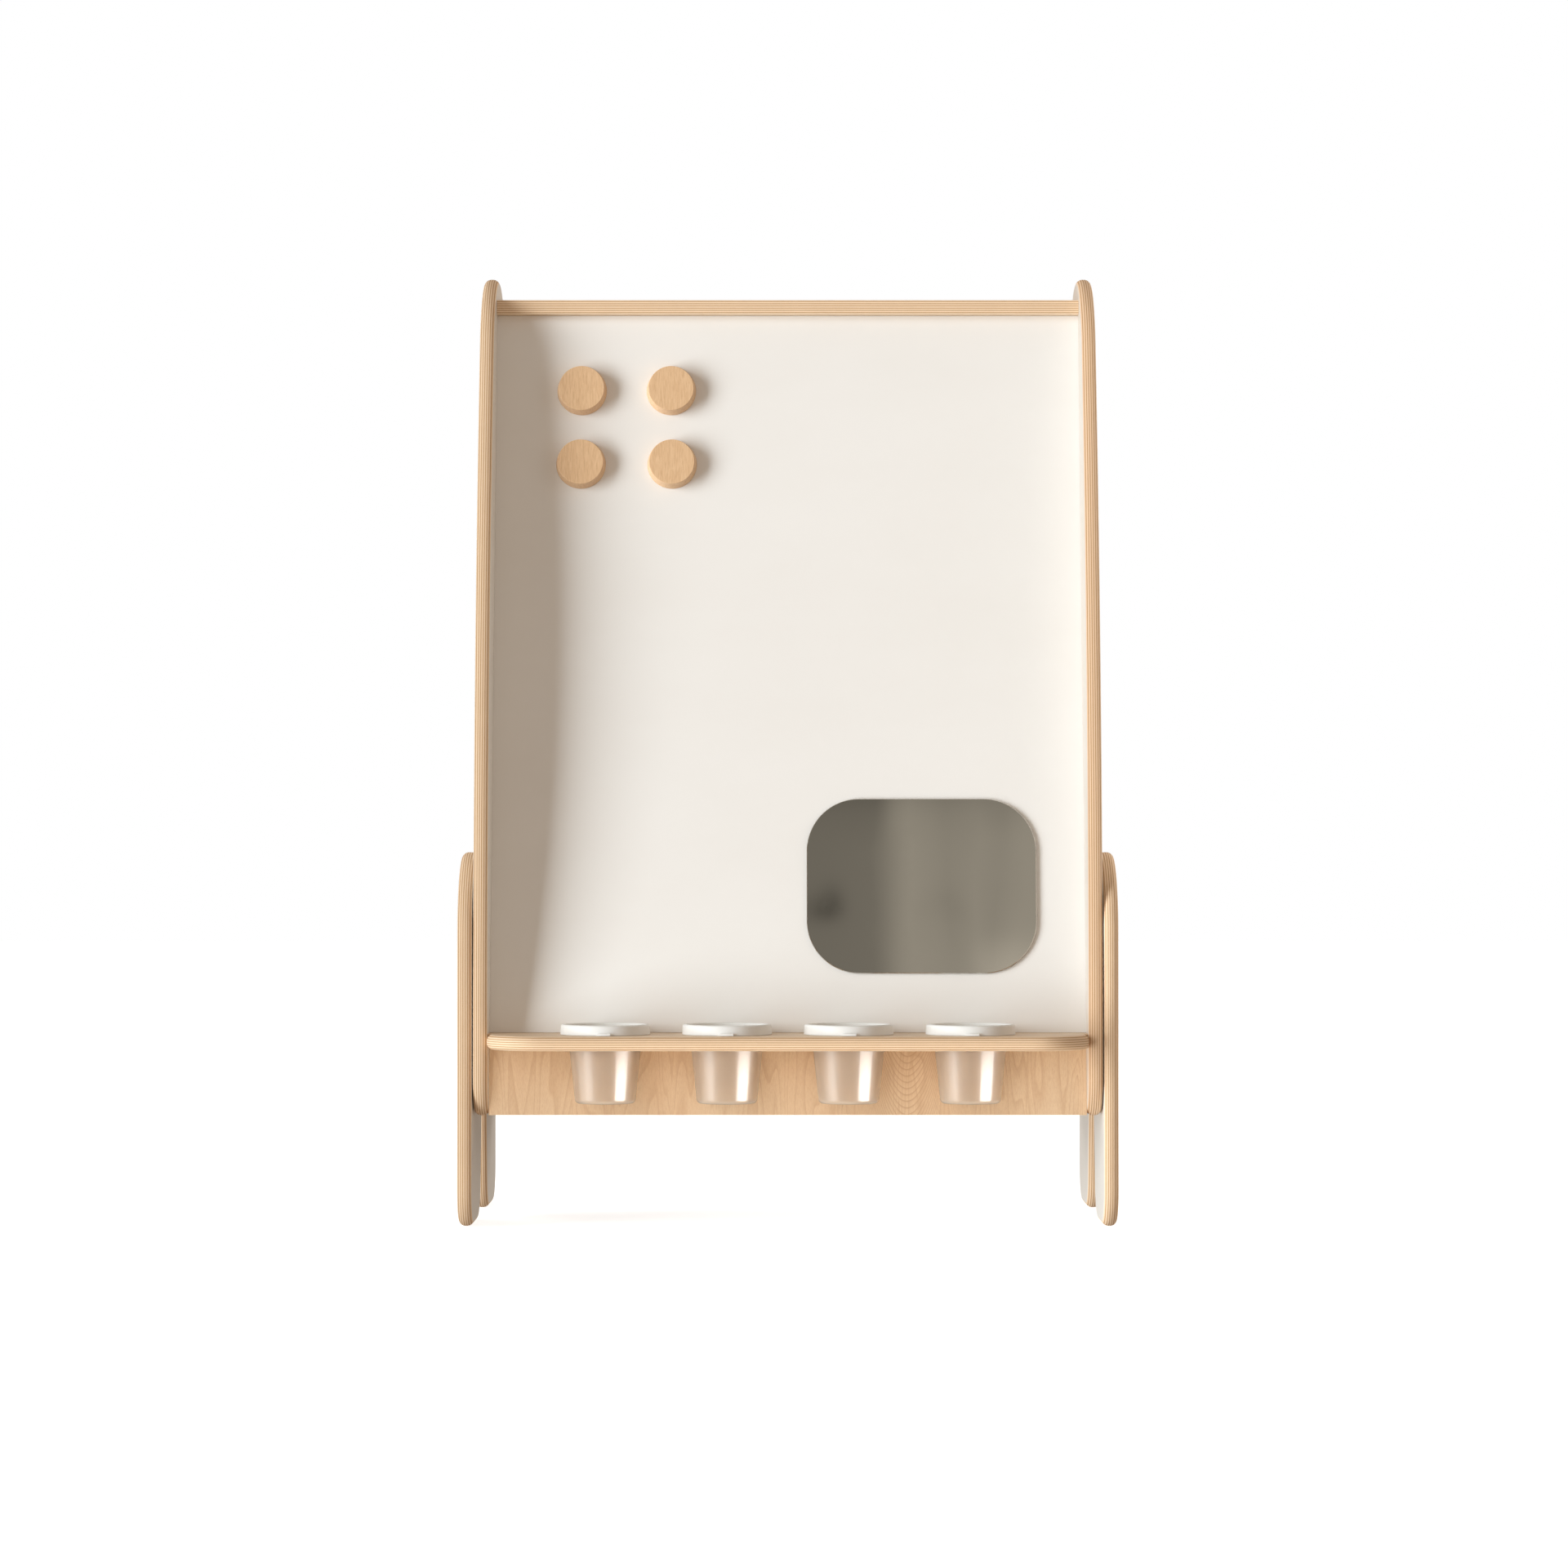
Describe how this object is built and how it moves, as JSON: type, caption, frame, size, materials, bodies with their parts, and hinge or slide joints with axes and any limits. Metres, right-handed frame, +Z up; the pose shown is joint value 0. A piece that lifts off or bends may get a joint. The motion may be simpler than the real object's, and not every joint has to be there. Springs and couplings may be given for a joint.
{
  "type": "kids easel",
  "caption": "Double-sided children's easel with leaning magnetic boards, a cup tray, mirror and height-adjustable base panels.",
  "frame": {"origin": "on the floor, under the middle of the whole easel", "axes": "+X to the right seen from the front, +Y towards the back, +Z up; the tray faces -Y"},
  "size_m": [0.6764, 0.443, 0.9884],
  "materials": {
    "laminated_ply": "birch plywood, white satin faces, clear-lacquered ply edges",
    "birch_ply": "clear-lacquered birch plywood",
    "birch_rail": "clear-lacquered birch veneer",
    "board_backer": "raw birch plywood",
    "whiteboard_steel": "satin dry-wipe enamel",
    "cup_plastic": "frosted translucent plastic, glossy outside",
    "lid_plastic": "satin white plastic",
    "disc_wood": "satin beech",
    "magnet": "dull ferrite",
    "acrylic_mirror": "polished acrylic mirror",
    "adhesive_pad": "foam tape",
    "dowel_wood": "fluted beech",
    "nylon_washer": "dark nylon",
    "fastener_steel": "zinc-plated steel"
  },
  "bodies": {
    "base": {"base_panel_left": "laminated_ply", "base_panel_right": "laminated_ply", "height_bolts_left": "fastener_steel", "height_bolts_right": "fastener_steel", "sleeve_nuts_left": "fastener_steel", "sleeve_nuts_right": "fastener_steel", "spacer_washers_left": "nylon_washer", "spacer_washers_right": "nylon_washer"},
    "upper": {"barrel_nuts": "fastener_steel", "board_front": "board_backer", "board_rear": "board_backer", "connector_bolts": "fastener_steel", "dowels": "dowel_wood", "mirror": "acrylic_mirror", "mirror_pad": "adhesive_pad", "rail_front": "birch_rail", "rail_rear": "birch_rail", "side_panel_left": "laminated_ply", "side_panel_right": "laminated_ply", "steel_sheet_front": "whiteboard_steel", "steel_sheet_rear": "whiteboard_steel", "top_plank": "birch_ply", "tray": "birch_ply"},
    "cup_1_body": {"cup_1": "cup_plastic"},
    "lid_1_body": {"lid_1": "lid_plastic"},
    "cup_2_body": {"cup_2": "cup_plastic"},
    "lid_2_body": {"lid_2": "lid_plastic"},
    "cup_3_body": {"cup_3": "cup_plastic"},
    "lid_3_body": {"lid_3": "lid_plastic"},
    "cup_4_body": {"cup_4": "cup_plastic"},
    "lid_4_body": {"lid_4": "lid_plastic"},
    "knob_lower_left": {"disc_lower_left": "disc_wood", "magnet_lower_left": "magnet"},
    "knob_lower_right": {"disc_lower_right": "disc_wood", "magnet_lower_right": "magnet"},
    "knob_upper_left": {"disc_upper_left": "disc_wood", "magnet_upper_left": "magnet"},
    "knob_upper_right": {"disc_upper_right": "disc_wood", "magnet_upper_right": "magnet"}
  },
  "joints": [
    {"name": "height_slide", "type": "slide", "parent": "base", "child": "upper", "axis": [0, 0, 1], "range_m": [0, 0.12]},
    {"name": "cup_1_lift", "type": "slide", "parent": "upper", "child": "cup_1_body", "axis": [0, 0, 1], "range_m": [0, 0.1]},
    {"name": "lid_1_lift", "type": "slide", "parent": "cup_1_body", "child": "lid_1_body", "axis": [0, 0, 1], "range_m": [0, 0.05]},
    {"name": "cup_2_lift", "type": "slide", "parent": "upper", "child": "cup_2_body", "axis": [0, 0, 1], "range_m": [0, 0.1]},
    {"name": "lid_2_lift", "type": "slide", "parent": "cup_2_body", "child": "lid_2_body", "axis": [0, 0, 1], "range_m": [0, 0.05]},
    {"name": "cup_3_lift", "type": "slide", "parent": "upper", "child": "cup_3_body", "axis": [0, 0, 1], "range_m": [0, 0.1]},
    {"name": "lid_3_lift", "type": "slide", "parent": "cup_3_body", "child": "lid_3_body", "axis": [0, 0, 1], "range_m": [0, 0.05]},
    {"name": "cup_4_lift", "type": "slide", "parent": "upper", "child": "cup_4_body", "axis": [0, 0, 1], "range_m": [0, 0.1]},
    {"name": "lid_4_lift", "type": "slide", "parent": "cup_4_body", "child": "lid_4_body", "axis": [0, 0, 1], "range_m": [0, 0.05]},
    {"name": "knob_lower_left_pull", "type": "slide", "parent": "upper", "child": "knob_lower_left", "axis": [0, -0.9891, 0.1474], "range_m": [0, 0.05]},
    {"name": "knob_lower_right_pull", "type": "slide", "parent": "upper", "child": "knob_lower_right", "axis": [0, -0.9891, 0.1474], "range_m": [0, 0.05]},
    {"name": "knob_upper_left_pull", "type": "slide", "parent": "upper", "child": "knob_upper_left", "axis": [0, -0.9891, 0.1474], "range_m": [0, 0.05]},
    {"name": "knob_upper_right_pull", "type": "slide", "parent": "upper", "child": "knob_upper_right", "axis": [0, -0.9891, 0.1474], "range_m": [0, 0.05]}
  ]
}
